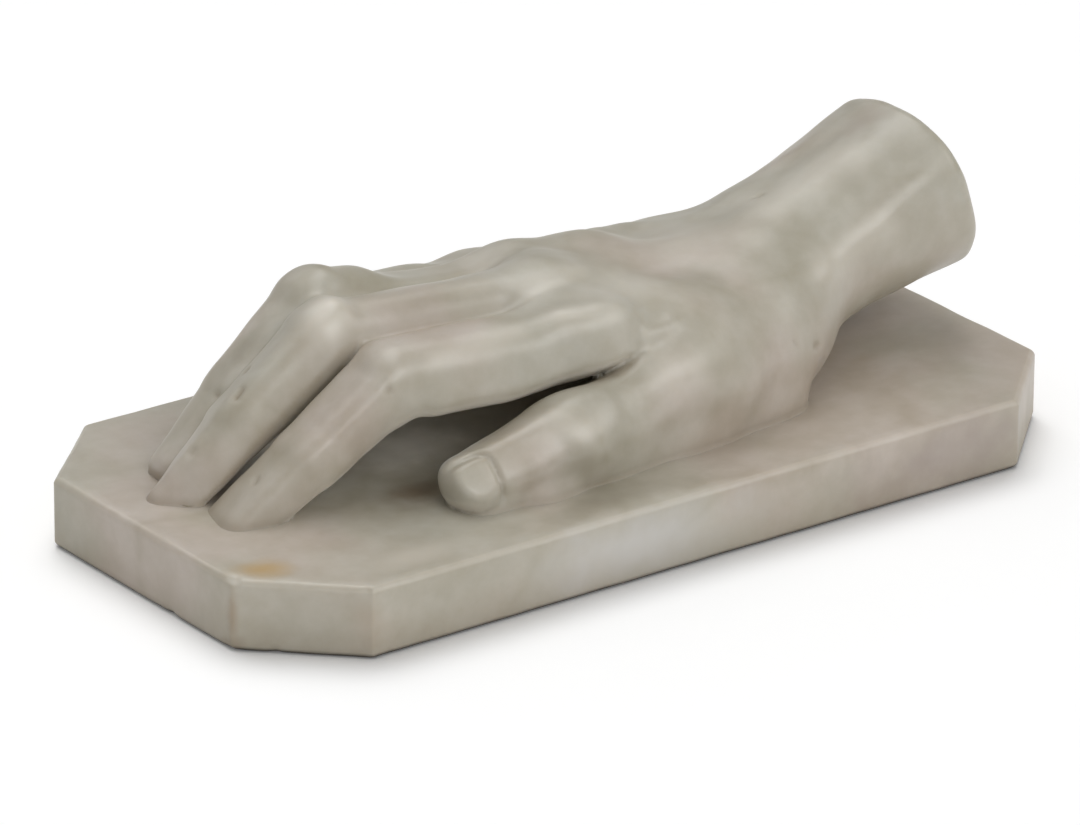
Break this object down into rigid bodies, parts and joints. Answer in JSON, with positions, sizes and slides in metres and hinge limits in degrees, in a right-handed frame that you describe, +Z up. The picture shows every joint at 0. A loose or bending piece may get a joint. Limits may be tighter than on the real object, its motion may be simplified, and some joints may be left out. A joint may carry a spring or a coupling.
{
  "type": "marble hand sculpture",
  "caption": "Life-size marble hand resting palm down on a slab plinth with canted corners, fixed by resin beds and hidden steel dowels; a desk ornament or paperweight.",
  "frame": {"origin": "centre of the plinth's underside, on the surface that it stands on", "axes": "+X along the plinth from the fingertips to the wrist, +Y from the thumb side to the little finger side, +Z up"},
  "size_m": [0.24, 0.12, 0.0742],
  "materials": {
    "plinth_marble": "honed",
    "hand_marble": "satin",
    "dowel_steel": "plain",
    "bedding_resin": "matte"
  },
  "bodies": {
    "root": {"plinth": "plinth_marble", "hand": "hand_marble", "dowel_heel": "dowel_steel", "dowel_thumb": "dowel_steel", "resin_bed_heel": "bedding_resin", "resin_bed_thumb": "bedding_resin", "resin_bed_outer_palm": "bedding_resin", "resin_bed_index": "bedding_resin", "resin_bed_middle": "bedding_resin", "resin_bed_ring": "bedding_resin", "resin_bed_little": "bedding_resin"}
  },
  "joints": []
}
